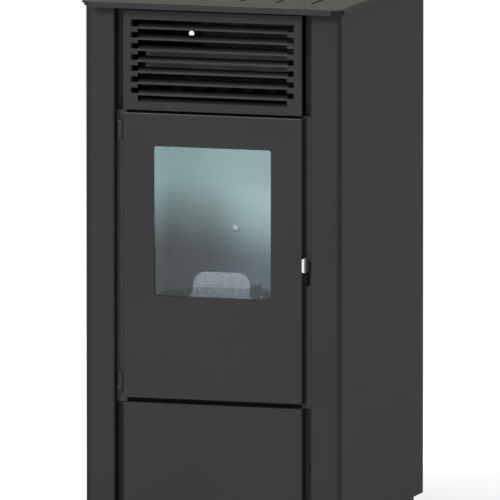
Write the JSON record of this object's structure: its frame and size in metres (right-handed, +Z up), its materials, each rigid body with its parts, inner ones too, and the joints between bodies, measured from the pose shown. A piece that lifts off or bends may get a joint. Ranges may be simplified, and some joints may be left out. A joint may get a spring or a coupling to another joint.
{
  "type": "pellet stove",
  "caption": "Free-standing pellet stove with a dark sheet-metal casing, glazed firebox door, warm-air grille, ash drawer and top hopper.",
  "frame": {"origin": "on the floor, under the middle of the bounding box of the stove with its flue spigot", "axes": "+Z up, front faces -Y, +X to the right seen from the front"},
  "size_m": [0.488, 0.573, 0.9952],
  "materials": {
    "dark_coat": "satin speckled powder coat",
    "side_coat": "satin speckled powder coat",
    "galvanised": "galvanised sheet",
    "heat_black": "matt heat-resistant black",
    "cast_black": "matt",
    "pot_steel": "heat-tinted stainless",
    "zinc": "bright zinc",
    "chrome": "polished",
    "vermiculite": "pressed vermiculite, sooted",
    "window": "clear ceramic glass",
    "rope": "braided glass-fibre rope",
    "rubber": "matt",
    "motor_alu": "cast",
    "black_plastic": "matt",
    "key_plastic": "gloss",
    "display_plastic": "gloss",
    "board_green": "varnished circuit board"
  },
  "bodies": {
    "cabinet": {"base_frame": "dark_coat", "left_side_panel": "side_coat", "right_side_panel": "side_coat", "rear_panel": "galvanised", "rear_screws": "zinc", "front_frame": "dark_coat", "door_surround": "dark_coat", "front_grille": "dark_coat", "air_deflector": "heat_black", "top_plate": "side_coat", "hopper": "dark_coat", "lid_hinge_brackets": "dark_coat", "control_panel": "black_plastic", "display": "display_plastic", "firebox_shell": "heat_black", "heat_tubes": "heat_black", "back_liner": "vermiculite", "side_liners": "vermiculite", "baffle": "vermiculite", "burn_pot_support": "heat_black", "firebox_bolts": "zinc", "igniter": "pot_steel", "auger_tube": "heat_black", "auger_motor": "motor_alu", "exhaust_housing": "heat_black", "exhaust_motor": "motor_alu", "air_intake_tube": "galvanised", "blower_housing": "galvanised", "blower_motor": "motor_alu", "air_duct": "galvanised", "control_board": "board_green", "mains_inlet": "black_plastic", "safety_thermostat": "black_plastic", "hinge_brackets": "dark_coat", "drawer_runners": "galvanised"},
    "door": {"door_cover": "dark_coat", "door_frame": "cast_black", "window_glass": "window", "glass_gasket": "rope", "door_seal": "rope"},
    "hopper_lid": {"hopper_lid": "side_coat", "hopper_lid_gasket": "rubber", "hopper_lid_handle": "black_plastic"},
    "latch": {"latch_lever": "zinc", "latch_grip": "chrome"},
    "ash_drawer": {"lower_panel": "dark_coat", "ash_pan": "galvanised"},
    "burn_pot": {"burn_pot": "pot_steel"},
    "auger": {"auger": "pot_steel"},
    "exhaust_impeller": {"exhaust_impeller": "pot_steel"},
    "blower_rotor": {"blower_rotor": "galvanised"},
    "key_minus": {"key_minus": "key_plastic"},
    "key_power": {"key_power": "key_plastic"},
    "key_plus": {"key_plus": "key_plastic"},
    "power_switch": {"power_switch": "key_plastic"},
    "reset_button": {"reset_button": "key_plastic"},
    "foot_front_left": {"foot_front_left": "zinc"},
    "foot_front_right": {"foot_front_right": "zinc"},
    "foot_rear_left": {"foot_rear_left": "zinc"},
    "foot_rear_right": {"foot_rear_right": "zinc"}
  },
  "joints": [
    {"name": "door_hinge", "type": "hinge", "parent": "cabinet", "child": "door", "pos_m": [-0.1735, -0.2625, 0.5225], "axis": [0, 0, -1], "range_deg": [0, 110]},
    {"name": "latch_pivot", "type": "hinge", "parent": "cabinet", "child": "latch", "pos_m": [0.17, -0.2185, 0.5], "axis": [1, 0, 0], "range_deg": [0, 30]},
    {"name": "lid_hinge", "type": "hinge", "parent": "cabinet", "child": "hopper_lid", "pos_m": [0.065, 0.2095, 0.986], "axis": [-1, 0, 0], "range_deg": [0, 100]},
    {"name": "ash_drawer_slide", "type": "slide", "parent": "cabinet", "child": "ash_drawer", "axis": [0, -1, 0], "range_m": [0, 0.12]},
    {"name": "burn_pot_lift", "type": "slide", "parent": "cabinet", "child": "burn_pot", "axis": [0, 0, 1], "range_m": [0, 0.15]},
    {"name": "auger_spin", "type": "hinge", "parent": "cabinet", "child": "auger", "pos_m": [0, 0.1265, 0.54], "axis": [0, -0.7465, 0.6654], "continuous": true},
    {"name": "exhaust_spin", "type": "hinge", "parent": "cabinet", "child": "exhaust_impeller", "pos_m": [0.118, 0.1315, 0.165], "axis": [1, 0, 0], "continuous": true},
    {"name": "blower_spin", "type": "hinge", "parent": "cabinet", "child": "blower_rotor", "pos_m": [-0.147, -0.0135, 0.3], "axis": [1, 0, 0], "continuous": true},
    {"name": "key_minus_press", "type": "slide", "parent": "cabinet", "child": "key_minus", "axis": [0, 0, -1], "range_m": [0, 0.0012], "stiffness_N_per_m": 300},
    {"name": "key_power_press", "type": "slide", "parent": "cabinet", "child": "key_power", "axis": [0, 0, -1], "range_m": [0, 0.0012], "stiffness_N_per_m": 300},
    {"name": "key_plus_press", "type": "slide", "parent": "cabinet", "child": "key_plus", "axis": [0, 0, -1], "range_m": [0, 0.0012], "stiffness_N_per_m": 300},
    {"name": "power_switch_rock", "type": "hinge", "parent": "cabinet", "child": "power_switch", "pos_m": [-0.15, 0.23517, 0.133], "axis": [1, 0, 0], "range_deg": [-8, 8]},
    {"name": "reset_button_press", "type": "slide", "parent": "cabinet", "child": "reset_button", "axis": [0, -1, 0], "range_m": [0, 0.002], "stiffness_N_per_m": 400},
    {"name": "foot_front_left_turn", "type": "hinge", "parent": "cabinet", "child": "foot_front_left", "pos_m": [-0.2, -0.2065, 0], "axis": [0, 0, 1], "continuous": true},
    {"name": "foot_front_right_turn", "type": "hinge", "parent": "cabinet", "child": "foot_front_right", "pos_m": [0.2, -0.2065, 0], "axis": [0, 0, 1], "continuous": true},
    {"name": "foot_rear_left_turn", "type": "hinge", "parent": "cabinet", "child": "foot_rear_left", "pos_m": [-0.2, 0.1935, 0], "axis": [0, 0, 1], "continuous": true},
    {"name": "foot_rear_right_turn", "type": "hinge", "parent": "cabinet", "child": "foot_rear_right", "pos_m": [0.2, 0.1935, 0], "axis": [0, 0, 1], "continuous": true}
  ]
}
